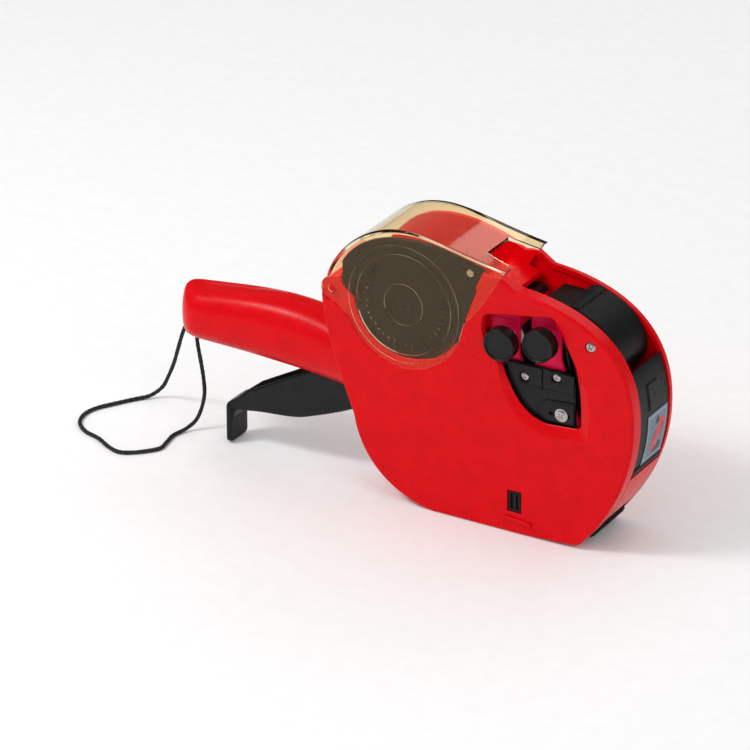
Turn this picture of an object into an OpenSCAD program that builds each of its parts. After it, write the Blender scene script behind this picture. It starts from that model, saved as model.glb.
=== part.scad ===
// Two-line price labelling gun: a hand-held printer and applicator for paper price labels.
// Frame: +X to the front, +Z up, right-hand side at -Y. Origin: the middle of the flat rest face.

/* [Body] */
// Half width of the casing, centre plane to outer side face
half_w = 19; // [18.5:0.5:20]
// Wall thickness of the moulded casing
wall = 2.3; // [2:0.1:2.6]
// Length of the flat rest face under the body
rest_len = 45; // [40:1:48]
// Radius of the label roll compartment
roll_r = 29; // [28.5:0.1:29.3]

/* [Handle] */
// Height of the handle's centre line above the table
grip_z = 60.5; // [59:0.5:62]
// Half width of the handle
grip_w = 13; // [12:0.5:14]

/* [Head] */
// Head and trigger swing from rest to printing, degrees
swing = 18; // [10:1:18]
// Diameter of the two selector knobs
knob_d = 15; // [12:0.5:15.5]
// Length of the knobs' round bodies
knob_len = 5.8; // [4:0.2:7]
// Radius of the main shaft that the trigger and the head turn on
shaft_r = 3; // [2:0.5:3.5]

/* [Rollers] */
// Outer radius of the ribbed applicator roller
roller_r = 5.6; // [5:0.1:5.8]
// Number of ribs round the applicator roller
roller_ribs = 22; // [14:1:28]
// Radius of the ink roller
ink_r = 6; // [4:0.5:6.5]
// Radius of the feed wheel
feed_r = 9; // [7:0.5:9.5]

/* [Strap] */
// Diameter of the wrist strap's round braid
strap_d = 2; // [1.5:0.1:2.4]

/* [Hidden] */
$fn = 48;
run = 0.06;                     // radial clearance of a shaft in its bore
cut = 0.5;                      // how far a cutting shape runs past a face

inner_w = half_w - wall;        // inner side face of the casing
near_rim = -11.5;               // inner edge of the wide rim on the right-hand side
far_rim = 15.7;                 // inner edge of the narrow rim on the left-hand side
cover_out = half_w + 0.2;       // outer side face of the label cover
cover_t = 1.6;                  // wall of the label cover
panel_out = cover_out - cover_t - 0.3;   // recessed casing panel under the cover
panel_in = panel_out - 2.2;

pivot = [-42.5, 58];            // main shaft
roll_c = [-36.9, 96.5];         // middle of the label roll
cover_pin = [-73, 96.4];        // hinge of the label cover
ink_pin = [70.3, 38.4];         // hinge of the ink cover
base_pin = [41.8, 2];           // hinge of the base cover
roller_c = [50.5, 8.3];         // applicator roller
ink_c = [59.8, 33.5];               // ink roller
feed_c = [2, 16];               // feed wheel
pawl_c = [-12, 27];             // feed pawl
knobs = [[13.5, 91.5], [32.3, 95.3]];
print_line = [[31.5, 42], [45.5, 46.5]];
plate_screws = [[21.4, 75], [36.9, 78]];
adjust_c = [39.7, 61];
side_screws = [[-151, 57], [-88, 69.5], [-52, 32], [58.5, 20.5]];
rim_screw = [54.5, 97.8];
latch_lo = [15.5, 10];
latch_hi = [22.5, 20.5];

// ---- curves in the X-Z plane, run clockwise so that the inside is on the right
function bez(a, b, c, d, n = 14) = [for (i = [0:n]) let (t = i / n, s = 1 - t)
    s * s * s * a + 3 * s * s * t * b + 3 * s * t * t * c + t * t * t * d];
function arc(c, r, a0, a1, n = 16) = [for (i = [0:n]) let (a = a0 + (a1 - a0) * i / n)
    c + r * [cos(a), sin(a)]];
function unit(v) = v / norm(v);
function tidy(p) = [for (i = [0:len(p) - 1]) if (norm(p[i] - p[(i + len(p) - 1) % len(p)]) > 0.05) p[i]];
function right_of(v) = [v.y, -v.x] / norm(v);
// moves a curve to its right by d, with mitred corners; a closed one wraps round
function inward(q, d, closed = false) = let (p = closed ? tidy(q) : [for (i = [0:len(q) - 1])
    if (i == 0 || norm(q[i] - q[max(i - 1, 0)]) > 0.05) q[i]], n = len(p)) [for (i = [0:n - 1])
    let (a = closed ? p[(i + n - 1) % n] : p[max(i - 1, 0)],
        b = closed ? p[(i + 1) % n] : p[min(i + 1, n - 1)],
        u = right_of(i == 0 && !closed ? b - p[i] : p[i] - a),
        v = right_of(i == n - 1 && !closed ? p[i] - a : b - p[i]))
    p[i] + d * (u + v) / (1 + u * v)];
function flip(p) = [for (i = [len(p) - 1:-1:0]) p[i]];

half_rest = rest_len / 2;
front_top = bez([18, 115], [46, 113], [76.5, 101], [75.9, 62], 20);
front_low = bez([75.9, 62], [75.9, 40], [66, 19], [51.3, 2.6], 18);
toe = bez([51.3, 2.6], [49.5, 0.8], [40, 0.9], [half_rest, 0], 8);
heel = bez([-half_rest, 0], [-40, 2.5], [-58, 14], [-62.2, 37.4], 14);
back = bez([-62.2, 37.4], [-64.5, 45], [-77.5, 72], [-78.4, 92], 10);
hinge_end = arc(cover_pin, 5.5, 190, 80, 8);
arch = bez([-66, 104], [-52, 134], [-22, 130], [4, 119], 16);
under_cover = concat(front_top, front_low, toe, heel, back, hinge_end);
casing_pts = concat(under_cover, arch, [[10.5, 120]]);
hollow_pts = inward(casing_pts, wall, true);

cover_top = concat(bez([-75.4, 102.6], [-72.5, 113], [-58, 131.7], [-34.5, 131.7], 14),
                   bez([-34.5, 131.7], [-22, 131.7], [-6, 126.2], [13.6, 123.4], 12));
cover_low = concat([[10.4, 119.4], [3.3, 107.3], [-0.7, 101.6], [-7.1, 93.8]],
                   arc(roll_c, roll_r + 0.9, -24, -156, 20), [[-73.5, 90.9]]);
cover_zone = concat(cover_top, cover_low);
// the plate that closes the roll compartment on the right, grown by g all round
function plate_pts(g) = concat(arc(roll_c, roll_r - 0.4 + g, -8, -30, 5),
    arc(roll_c + [1, 1], roll_r - 2.9 + g, -42, -172, 18),
    [[-66.4 - g, 97], [-68.4 - g, 101], [-68.4 - g, 110]],
    bez([-68.4 - g, 110], [-58, 128.4 + g], [-30, 132 + g], [2 + g, 121.6 + g], 12),
    [[-2 + g, 113], [-2 + g, 110]]);

window_pts = concat([[2.6, 96], [3.2, 100]], arc([6.5, 98.6], 3, 150, 100, 3),
                    [[33, 106]], arc([35, 103.4], 2.8, 80, 15, 4),
                    bez([40, 100.5], [46, 89], [49.3, 80], [49.5, 62], 8),
                    arc([47, 59.8], 2.6, 0, -80, 4),
                    bez([33.6, 56.3], [22, 57.5], [17, 66], [11.2, 79.4], 8),
                    bez([10, 81], [5, 86.5], [3, 89], [2.6, 96], 6));

grip_top = bez([-158.5, 73.6], [-138, 73.4], [-114, 83.4], [-70, 72.5], 14);
grip_low = [[-62, 42.5], [-90, 44.6], [-124, 46.6], [-156, 47.8]];
grip_pts = concat(grip_top, grip_low, bez([-157, 48], [-162, 53], [-160.5, 69], [-160, 72.4], 8));
grip_hollow = concat(inward(grip_top, wall), [for (p = grip_low) [max(p.x, -155.5), p.y + wall]],
    [[-158, 58], [-158, 69]]);
function ring_pts(w, h, k = 2.4, n = 40) = [for (i = [0:n - 1]) let (a = 360 * (i + 0.5) / n)
    [w * sign(cos(a)) * pow(abs(cos(a)), 2 / k), h * sign(sin(a)) * pow(abs(sin(a)), 2 / k)]];

// outline of a belt round two wheels, of radius r and s
function belt_pts(p, r, q, s, n = 12) = let (d = norm(q - p), a = atan2(q.y - p.y, q.x - p.x),
    f = acos((r - s) / d)) concat(arc(p, r, a + f, a + 360 - f, n), arc(q, s, a - f, a + f, n));

// ---- wrist strap: a free cord, its route along round points
strap_pts = [[-156, 0, 50], [-155.6, 0, 46], [-155, 0, 41], [-153.5, 0, 33], [-152.3, 0, 25], [-152, 0, 18],
    [-153, -1, 11], [-155, -3, 5], [-158, -7, 1.6], [-160, -14, 1], [-159, -21, 1], [-158, -28, 1],
    [-161, -33, 1], [-166, -38, 1], [-172, -41, 1], [-179, -39, 1], [-188, -34, 1], [-197, -31, 1],
    [-204, -25, 1], [-207, -17, 1], [-206, -9, 1], [-201, 0, 1], [-196, 8, 1], [-191, 14, 1.6],
    [-186, 17, 6], [-181, 15, 14], [-176, 12, 23], [-171, 8, 33], [-166, 4, 43], [-162, 1.5, 50],
    [-159, 0.5, 55]];
strap_rings = 76;
// Catmull-Rom curve through the strap's points, t from 0 to 1
function strap_at(t) = let (m = len(strap_pts) - 1, u = min(t, 0.99999) * m, i = floor(u), f = u - i,
    a = strap_pts[max(i - 1, 0)], b = strap_pts[i], c = strap_pts[i + 1], d = strap_pts[min(i + 2, m)])
    0.5 * (2 * b + (c - a) * f + (2 * a - 5 * b + 4 * c - d) * f * f + (3 * b - a - 3 * c + d) * f * f * f);

// ---- helpers
module shape(p) { polygon(tidy(p)); }
// extrudes an X-Z outline along Y, from y0 up to y1
module along_y(y0, y1) { translate([0, y1, 0]) rotate([90, 0, 0]) linear_extrude(y1 - y0) children(); }
module rod(c, r, y0, y1) { translate([c.x, y1, c.y]) rotate([90, 0, 0]) cylinder(h = y1 - y0, r = r); }
module block(lo, hi) { translate(lo) cube(hi - lo); }
module tube(c, r_out, r_in, y0, y1) {
    difference() {
        rod(c, r_out, y0, y1);
        rod(c, r_in, y0 - cut, y1 + cut);
    }
}
// cross-head screw along Y: its head's face at y0, its shank running towards dir
module screw(c, y0, dir, head_r, head_h, shank_r, shank) {
    y1 = y0 + dir * head_h;
    y2 = y1 + dir * shank;
    difference() {
        union() {
            rod(c, head_r, min(y0, y1), max(y0, y1));
            if (shank > 0) rod(c, shank_r, min(y1, y2), max(y1, y2));
        }
        along_y(min(y0, y0 + dir * head_h * 0.6) - 0.01, max(y0, y0 + dir * head_h * 0.6) + 0.01)
            translate(c)
            for (a = [0, 90]) rotate(a) square([head_r * 1.2, head_r * 0.3], center = true);
    }
}

// ---- casing
module grip_solid(t) {
    intersection() {
        along_y(-grip_w, grip_w) shape(t > 0 ? grip_hollow : grip_pts);
        translate([-165, 0, grip_z]) rotate([90, 0, 90]) linear_extrude(110)
            shape(ring_pts(grip_w - t, 16.9 - t * 0.9));
    }
}
// one half of the casing: side -1 is the right-hand half, 1 the left-hand one
module half_casing(side) {
    module slab(near, far) {
        along_y(min(side * near, side * far), max(side * near, side * far)) children();
    }
    difference() {
        union() {
            difference() {
                union() {
                    slab(0, half_w) shape(casing_pts);
                    intersection() {
                        grip_solid(0);
                        slab(0, half_w) shape([[-170, 30], [-66, 30], [-66, 90], [-170, 90]]);
                    }
                }
                difference() {
                    slab(-cut, inner_w) shape(hollow_pts);
                    slab(panel_in, half_w) shape(cover_zone);
                }
                grip_solid(wall);
                block([-149, -8, 30], [-64, 8, grip_z - 6]);
                block([-80, -7.6, 27], [-50, 7.6, 64]);
                // open top under the label cover
                block([-71, -panel_in, 99], [12, panel_in, 135]);
                // opening for the base cover, gap for the applicator roller
                block([-20.4, -14, -cut], [base_pin.x + 2, 14, wall + 1.6]);
                block([base_pin.x + 1, near_rim, -cut], [60, far_rim, 13.6]);
            }
            slab(15.6, inner_w + 0.2) translate(pivot) circle(5.5);
            for (c = side_screws) slab(0, (c.x < -80 ? grip_w - 2.6 : half_w) - 1.5) translate(c) circle(3);
        }
        slab(panel_out, half_w + cut) shape(cover_zone);
        slab(panel_out, half_w + cut) translate(cover_pin) circle(6.2);
        slab(inner_w - cut, half_w + cut) translate(latch_lo) square(latch_hi - latch_lo);
        slab(-cut, inner_w) translate(pivot) circle(shaft_r + run);
        slab(-cut, half_w + cut) translate(cover_pin) circle(1.5 + run);
        slab(13, 15.6) translate(base_pin) circle(0.8 + run);
    }
}

module right_shell() {
    color("red") difference() {
        union() {
            difference() {
                half_casing(-1);
                block([12, near_rim, 13.6], [90, 1, 130]);
            }
            rod(rim_screw, 2.9, -inner_w - 0.2, -12.2);
            // rib under the latch
            along_y(-half_w - 0.5, -half_w + 0.2) translate([14.1, 6.4]) rotate(-4) square([13.6, 1.3]);
        }
        along_y(-half_w - cut, 1) shape(plate_pts(0.4));
        block([-60, -half_w - cut, 124], [0, 1, 130]);
        along_y(-half_w - cut, -inner_w + cut) shape(window_pts);
        rod(rim_screw, 2.5, -half_w - cut, -half_w + 0.9);
        rod(rim_screw, 1.1, -half_w - cut, -12);
        rod(ink_pin, 1.2 + run, near_rim - 3, near_rim + cut);
        for (c = side_screws) rod(c, 1.1, -7, cut);
    }
}

module left_shell() {
    color("red") difference() {
        union() {
            difference() {
                half_casing(1);
                block([12, -1, 35.8], [90, far_rim, 130]);
            }
            // the nose below the ink cover spans to the right-hand rim
            along_y(near_rim + 0.1, 1) intersection() {
                difference() {
                    shape(casing_pts);
                    shape(hollow_pts);
                }
                translate([50, 13.6]) square([40, 22.2]);
            }
        }
        rod(ink_pin, 1.2 + run, far_rim - cut, far_rim + 2);
        rod(roll_c, 4 + run, panel_in - cut, half_w + cut);
        for (c = side_screws) {
            rod(c, 1.1, -cut, half_w + cut);
            rod(c, 2.5, (c.x < -80 ? grip_w : half_w) - 3.2, half_w + cut);
        }
    }
}

module shell_screws() {
    color("silver") {
        screw(rim_screw, -half_w + 0.1, 1, 2.3, 0.8, 1.1 - run, 5);
        for (c = side_screws) let (y = (c.x < -80 ? grip_w : half_w) - 2)
            screw(c, y, -1, 2.3, 1.2, 1.1 - run, y + 5.8);
    }
}

// ---- label roll compartment
module label_cover() {
    color([0.95, 0.6, 0.25, 0.5]) difference() {
        union() {
            for (s = [-1, 1]) along_y(s < 0 ? -cover_out : cover_out - cover_t,
                s < 0 ? -cover_out + cover_t : cover_out) {
                shape(cover_zone);
                translate(cover_pin) circle(5.4);
            }
            along_y(-cover_out, cover_out) shape(concat(cover_top, flip(inward(cover_top, cover_t))));
            // raised rings on both sides of the roll
            for (s = [-1, 1], r = [9.5, 23.5, 27.5])
                tube(roll_c, r + 0.5, r - 0.2, s < 0 ? -cover_out - 0.3 : cover_out,
                    s < 0 ? -cover_out : cover_out + 0.3);
        }
        // thumb notch in the front edge of the band
        translate([0, 0, 115]) linear_extrude(20)
            shape([[-1, -9.5], [-1, 9.5], [4, 10.6], [20, 13.5], [20, -13.5], [4, -10.6]]);
        rod(cover_pin, 1.5 + run, -cover_out - cut, cover_out + cut);
    }
}
module cover_hinge_pins() {
    color("red") for (s = [-1, 1]) rod(cover_pin, 1.5, s < 0 ? -cover_out : panel_in + 0.2,
        s < 0 ? -panel_in - 0.2 : cover_out);
}
module roll_side_plate() {
    color([0.1, 0.1, 0.1]) difference() {
        union() {
            along_y(-panel_out + 0.3, -panel_in) shape(plate_pts(0));
            along_y(-panel_out, -panel_out + 0.3) shape([[-20, 124], [0, 118.4], [-2, 113], [-26, 121.5]]);
        }
        rod(roll_c, 4 + run, -half_w, 0);
        rod([-4.5, 118.6], 1.3, -half_w, -panel_in + cut);
    }
}
module roll_plate_screw() { color("silver") screw([-4.5, 118.6], -panel_out - 0.25, 1, 1.7, 0.25, 1.2, 2); }
module roll_hub(s) {
    y0 = s < 0 ? -panel_in + 0.2 : 11.4;
    y1 = s < 0 ? -11.4 : panel_in - 0.2;
    color([0.1, 0.1, 0.1]) difference() {
        union() {
            rod(roll_c, 9.5, y0, y1);
            rod(roll_c, 4, s < 0 ? -panel_out + 0.4 : panel_in - 0.4, s < 0 ? y0 + 0.1 : panel_in + 1.8);
        }
        // three notches that grip the roll's core
        for (a = [90, 210, 330]) rod(roll_c + 9.2 * [cos(a), sin(a)], 1.6, s < 0 ? -13 : 11,
            s < 0 ? -11 : 13);
    }
}
module right_roll_hub() { roll_hub(-1); }
module left_roll_hub() { roll_hub(1); }
module roll_cradle() {
    a0 = 212;
    a1 = 334;
    color("red") difference() {
        along_y(-panel_in, panel_in)
            shape(concat(arc(roll_c, roll_r + 2.8, a0, a1, 24), arc(roll_c, roll_r + 1.3, a1, a0, 24)));
        rod(pivot, 7, -panel_in - cut, panel_in + cut);
    }
}
module label_guide() {
    color("red") along_y(-panel_in, panel_in)
        shape([[-9, 107], [-3, 113.5], [1, 115], [12, 110.4], [12.4, 108.4], [11, 108.2], [0.5, 112.8],
            [-3, 111], [-7.6, 105.6]]);
}

// ---- inner frame
module inner_frame() {
    color([0.15, 0.15, 0.15]) difference() {
        union() {
            block([-21, -inner_w + 0.1, wall + 0.3], [-15, inner_w - 0.1, wall + 2]);
            block([-16, -12, wall + 0.3], [40, 12, wall + 2]);
            for (s = [-1, 1]) along_y(s < 0 ? -12 : 10.6, s < 0 ? -10.6 : 12)
                shape([[-16, 3], [-16, 28], [-13, 31], [-9, 30], [-6, 22], [10, 22], [14, 8.1], [40, 8.1],
                    [40, 3]]);
        }
        rod(feed_c, 2 + run, -13, 13);
        rod(pawl_c, 1.2 + run, -13, 13);
    }
}
module platen() {
    color([0.15, 0.15, 0.15]) along_y(-10.4, 10.4)
        shape([[16.5, 5], [15.5, 14], [17, 15.8], [38, 15.9], [41.5, 14.6], [40, 5]]);
}
module feed_wheel() {
    teeth = 24;
    color([0.12, 0.12, 0.12]) difference() {
        union() {
            rod(feed_c, feed_r - 0.8, -9, 4);
            for (y = [-8, 1], i = [0:teeth - 1]) rotate_about(feed_c, 360 * i / teeth)
                block([feed_c.x + feed_r - 1, y, feed_c.y - 0.45],
                    [feed_c.x + feed_r, y + 2, feed_c.y + 0.45]);
        }
        rod(feed_c, 2, -10, 5);
    }
}
module rotate_about(c, a) {
    translate([c.x, 0, c.y]) rotate([0, a, 0]) translate([-c.x, 0, -c.y]) children();
}
module ratchet_wheel() {
    teeth = 12;
    color("white") difference() {
        along_y(5, 7.5) translate(feed_c)
            shape([for (i = [0:teeth - 1], k = [0, 1]) let (a = 360 * (i + k * 0.9) / teeth)
                (k == 0 ? 7.4 : 5.6) * [cos(a), sin(a)]]);
        rod(feed_c, 2, 4, 9);
    }
}
module feed_axle() { color("silver") rod(feed_c, 2, -13.2, 13.2); }
module feed_pawl() {
    color("white") difference() {
        along_y(5, 7.5) union() {
            translate(pawl_c) circle(3);
            shape([[-12.8, 29.4], [-9.5, 29], [-3.4, 23.3], [-4.6, 22.4], [-10, 25], [-12.2, 24.6]]);
        }
        rod(pawl_c, 1.2 + run, 4, 9);
    }
}
module pawl_pin() { color("silver") rod(pawl_c, 1.2, -12, 12); }

// ---- trigger
lever_top = [[-135.5, 20.2], [-131.5, 23], [-124.2, 28.9], [-90.5, 47.5], [-75.5, 49.5], [-58, 57],
    [-47, 63]];
lever_low = [[-38, 54], [-52, 44], [-70.3, 32.7], [-91.1, 24.1], [-101.5, 21.2], [-117.5, 19.6],
             [-127, 18.2], [-133, 17.6], [-135.5, 17.6]];
module trigger_lever() {
    color([0.1, 0.1, 0.1]) difference() {
        union() {
            along_y(-6.75, 6.75) shape(concat(lever_top, lever_low));
            rod(pivot, 6, -6.75, 6.75);
            along_y(-7.5, 7.5) shape([[-136, 0.5], [-136, 19.6], [-133.4, 21.4], [-131, 19.4],
                [-133.2, 17], [-133.4, 0.5]]);
        }
        // the channel is open along its top
        along_y(-5.1, 5.1) shape([[-131, 40], [-131, 20], [-117, 21.5], [-101.5, 23.1], [-91.5, 26],
                                    [-71, 34.6], [-54, 45], [-51, 49], [-52, 75]]);
        rod(pivot, shaft_r + run, -8, 8);
    }
}
module main_shaft() { color("silver") rod(pivot, shaft_r, -inner_w + 0.05, inner_w - 0.05); }
module trigger_spring() {
    wire = 0.6;
    coil_r = 4.4;
    color("silver") for (i = [0:3]) translate([pivot.x, 8 + i * 1.3, pivot.y]) rotate([90, 0, 0])
        rotate_extrude() translate([coil_r, 0]) circle(wire, $fn = 16);
}

// ---- print head
plate_in = 13.6;
plate_out = 15;
module head_side() {
    difference() {
        union() {
            shape([[-42.5, 53], [-2, 47], [26, 41], [46, 46], [46, 76], [44, 81], [13, 81], [5, 68],
                [-2, 61], [-42.5, 63]]);
            translate(pivot) circle(5);
        }
        translate(pivot) circle(shaft_r + run);
    }
}
module head_frame() {
    color([0.12, 0.12, 0.12]) {
        for (s = [-1, 1]) along_y(s < 0 ? -plate_out : plate_in, s < 0 ? -plate_in : plate_out) head_side();
        rod([-4, 54.5], 2.6, -plate_in, plate_in);
        rod([12, 54.5], 2.6, -plate_in, plate_in);
    }
}
// cases that carry the type bands, from the knob axis down to the printing line
case_w = 13.3;
rear_case = concat([[27.5, 41.5], [3, 84], [3, 103]], arc([6.4, 103.4], 3.4, 180, 100, 4),
    arc([14.2, 103.6], 3.2, 80, 0, 4), [[17.4, 84], [34, 44]]);
front_case = concat([[39.5, 44.2], [23, 86], [23, 105]], arc([26.4, 105.4], 3.4, 180, 100, 4),
    arc([34.8, 105.4], 3.2, 80, 0, 4), [[38, 86], [50.5, 47]]);
module band_case(pts, c, p) {
    color([0.7, 0, 0.3]) difference() {
        along_y(-case_w, case_w) shape(pts);
        along_y(-case_w + 1.6, case_w - 1.6) shape(belt_pts(c, 6.3, p, 4.1));
        along_y(-case_w + 1.6, case_w - 1.6) translate(p + [0, -4]) circle(4);
        rod(c, 2.5 + run, -case_w - cut, case_w - 1);
    }
}
module rear_band_case() { band_case(rear_case, knobs[0], print_line[0]); }
module front_band_case() { band_case(front_case, knobs[1], print_line[1]); }
module type_bands(c, p) {
    color([0.16, 0.16, 0.16]) for (i = [0:7]) along_y(-11.3 + i * 2.85, -8.7 + i * 2.85) difference() {
        shape(belt_pts(c, 6, p, 3.7));
        shape(belt_pts(c, 5, p, 2.7));
    }
}
module rear_type_bands() { type_bands(knobs[0], print_line[0]); }
module front_type_bands() { type_bands(knobs[1], print_line[1]); }
module band_wheels(c, p) {
    color("white") {
        tube(c, 4.9, 2.5 + run, -11.4, 11.4);
        rod(p, 2.6, -11.6, 11.6);
    }
}
module rear_band_wheels() { band_wheels(knobs[0], print_line[0]); }
module front_band_wheels() { band_wheels(knobs[1], print_line[1]); }

module band_plate(x0, x1, c) {
    color([0.1, 0.1, 0.1]) difference() {
        along_y(-plate_out - 0.7, -plate_out) shape([[x0, 70.4], [x0 - (x0 < 20 ? 5 : 0), 80.6],
            [x1, 80.6], [x1, 70.4]]);
        rod(c, 2.7, -plate_out - 1, -plate_out + cut);
    }
}
module rear_band_plate() { band_plate(18, 29.9, plate_screws[0]); }
module front_band_plate() { band_plate(30.5, 45.6, plate_screws[1]); }
module head_plate_screws() {
    color("silver") for (c = plate_screws) screw(c, -plate_out - 0.6, 1, 2.1, 0.6, 1, 0);
}
module adjust_bracket() {
    color([0.1, 0.1, 0.1]) difference() {
        along_y(-plate_out - 0.8, -plate_out)
            shape(concat(arc([33.5, 62.6], 4, 180, 90, 6), [[45.7, 67.6], [45.7, 57]],
                arc([33.5, 61], 4, 270, 180, 6)));
        along_y(-plate_out - 1, -plate_out + cut) {
            translate([34.6, 60]) square([8.4, 2]);
            translate([34.6, 61]) circle(1);
            translate([43, 61]) circle(1);
        }
    }
}
module adjust_screw() {
    color("silver") {
        tube(adjust_c, 3.1, 0.95, -plate_out - 1.05, -plate_out - 0.8);
        screw(adjust_c, -plate_out - 1.5, 1, 2.3, 0.45, 0.9, 1);
    }
}

hood_out = concat(bez([43.5, 109.6], [53, 107.6], [64, 100], [64.9, 88], 12),
    bez([64.9, 88], [64.6, 84], [62, 80], [58.8, 75.3], 6));
module head_cover() {
    color([0.1, 0.1, 0.1]) {
        along_y(-11, 15.2) shape(concat(hood_out, flip(inward(hood_out, 1.8))));
        for (y = [-11, 13.7]) along_y(y, y + 1.5)
            shape(concat(inward(hood_out, 1.7), [[46, 74.5], [46, 84], [43.6, 100]]));
        along_y(-10.4, 14.6) shape([[36.9, 108.7], [37.6, 110.3], [40.6, 111.2], [44.2, 110.4],
            [44.4, 108.6], [41, 107.6]]);
    }
}

module knob(c) {
    color([0.1, 0.1, 0.1]) difference() {
        union() {
            rod(c, knob_d / 2, -19.6 - knob_len + 0.5, -19.6);
            rod(c, knob_d / 2 - 0.5, -19.6 - knob_len, -19.6 - knob_len + 0.6);
        }
        rod(c, 1.5, -23, -19);
    }
}
module rear_knob() { knob(knobs[0]); }
module front_knob() { knob(knobs[1]); }
module rear_selector_shaft() { color("silver") rod(knobs[0], 1.5, -22.9, 12); }
module front_selector_shaft() { color("silver") rod(knobs[1], 1.5, -22.9, 12); }
module rear_selector_sleeve() { color("white") tube(knobs[0], 2.5, 1.5 + run, -19.4, 11); }
module front_selector_sleeve() { color("white") tube(knobs[1], 2.5, 1.5 + run, -19.4, 11); }

// ---- ink unit
ink_curve = [for (p = inward(concat(front_top, front_low), 0.6)) if (p.y > 39.2 && p.y < 87 && p.x > 60) p];
module ink_cover() {
    y0 = near_rim + 0.4;
    y1 = far_rim - 0.4;
    color([0.1, 0.1, 0.1]) difference() {
        union() {
            along_y(y0, y1) shape(concat([[70.2, 86.2]], ink_curve, flip(inward(ink_curve, 1.8)),
                [[69.8, 84.4]]));
            rod(ink_pin, 1.9, y0, y1);
            along_y(y0, y1) shape([[69.2, 38.6], [70.6, 42.5], [72.3, 42.5], [71.2, 38.6]]);
            // press tab at the top
            along_y(-2.6, 6.2) intersection() {
                shape(concat(inward(ink_curve, -0.6), flip(inward(ink_curve, 0.4))));
                translate([60, 66]) square([20, 12]);
            }
        }
        rod(ink_pin, 1.2 + run, y0 - cut, y1 + cut);
    }
}
module ink_cover_pin() { color("silver") rod(ink_pin, 1.2, near_rim - 2.6, far_rim + 1.8); }
module ink_sticker() {
    color([0.4, 0.45, 0.55]) along_y(-4.3, 14.7) intersection() {
        shape(concat(inward(ink_curve, -0.25), flip(ink_curve)));
        translate([60, 40]) square([20, 24]);
    }
}
module ink_roller() { color([0.15, 0.1, 0.2]) tube(ink_c, ink_r, 1.5 + run, -10, 13.8); }
module ink_roller_core() { color("white") rod(ink_c, 1.5, -inner_w + 0.05, inner_w - 0.05); }

// ---- applicator roller and base
module applicator_roller() {
    color([0.08, 0.08, 0.08]) difference() {
        union() {
            rod(roller_c, roller_r - 0.7, near_rim + 0.5, far_rim - 0.5);
            for (i = [0:roller_ribs - 1]) rotate_about(roller_c, 360 * i / roller_ribs)
                block([roller_c.x + roller_r - 1, near_rim + 0.5, roller_c.y - 0.4],
                      [roller_c.x + roller_r, far_rim - 0.5, roller_c.y + 0.4]);
        }
        rod(roller_c, 1.5 + run, near_rim, far_rim);
    }
}
module roller_axle() { color("silver") rod(roller_c, 1.5, -inner_w, inner_w); }
module base_cover() {
    color([0.12, 0.12, 0.12]) difference() {
        union() {
            block([-20, -13.7, 0], [base_pin.x - 1, 13.7, 1.9]);
            rod(base_pin, 1.4, -13.7, 13.7);
        }
        rod(base_pin, 0.8 + run, -14, 14);
        // grip grooves
        for (x = [-16:3:-7]) block([x, -9, -cut], [x + 1.2, 9, 0.6]);
    }
}
module base_cover_pin() { color("silver") rod(base_pin, 0.8, -15.5, 15.5); }
module latch(s) {
    lo = latch_lo + [0.3, 0.3];
    hi = latch_hi - [0.3, 0.3];
    color([0.1, 0.1, 0.1]) {
        along_y(s < 0 ? -half_w + 0.5 : 16.5, s < 0 ? -16.5 : half_w - 0.5) translate(lo) square(hi - lo);
        along_y(s < 0 ? -16.6 : 15.9, s < 0 ? -15.9 : 16.6) translate([lo.x - 2, 5.5])
            square([hi.x - lo.x + 4, 17]);
    }
}
module right_latch() { latch(-1); }
module left_latch() { latch(1); }

module wrist_strap() {
    r = strap_d / 2;
    sides = 8;
    rings = [for (i = [0:strap_rings]) let (t = i / strap_rings,
        f = unit(strap_at(min(t + 0.004, 1)) - strap_at(max(t - 0.004, 0))),
        up = abs(f.z) > 0.9 ? [0, 1, 0] : [0, 0, 1], u = unit(cross(up, f)), v = cross(f, u))
        for (k = [0:sides - 1]) strap_at(t) + r * (cos(360 * k / sides) * u + sin(360 * k / sides) * v)];
    faces = concat([[for (k = [sides - 1:-1:0]) k]],
        [for (i = [0:strap_rings - 1], k = [0:sides - 1]) let (a = i * sides + k,
            b = i * sides + (k + 1) % sides)
            [a, b, b + sides, a + sides]],
        [[for (k = [0:sides - 1]) strap_rings * sides + k]]);
    color([0.12, 0.13, 0.13]) polyhedron(rings, faces);
}

right_shell();
left_shell();
shell_screws();
label_cover();
cover_hinge_pins();
roll_side_plate();
roll_plate_screw();
right_roll_hub();
left_roll_hub();
roll_cradle();
label_guide();
inner_frame();
platen();
main_shaft();
trigger_lever();
trigger_spring();
head_frame();
head_cover();
rear_band_case();
front_band_case();
rear_type_bands();
front_type_bands();
rear_band_wheels();
front_band_wheels();
rear_band_plate();
front_band_plate();
head_plate_screws();
adjust_bracket();
adjust_screw();
rear_knob();
front_knob();
rear_selector_shaft();
front_selector_shaft();
rear_selector_sleeve();
front_selector_sleeve();
ink_cover();
ink_cover_pin();
ink_sticker();
ink_roller();
ink_roller_core();
applicator_roller();
roller_axle();
feed_wheel();
ratchet_wheel();
feed_axle();
feed_pawl();
pawl_pin();
base_cover();
base_cover_pin();
right_latch();
left_latch();
wrist_strap();
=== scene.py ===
"""Looks of the two-line price labelling gun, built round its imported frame. Lengths are in millimetres."""
import math

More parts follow.
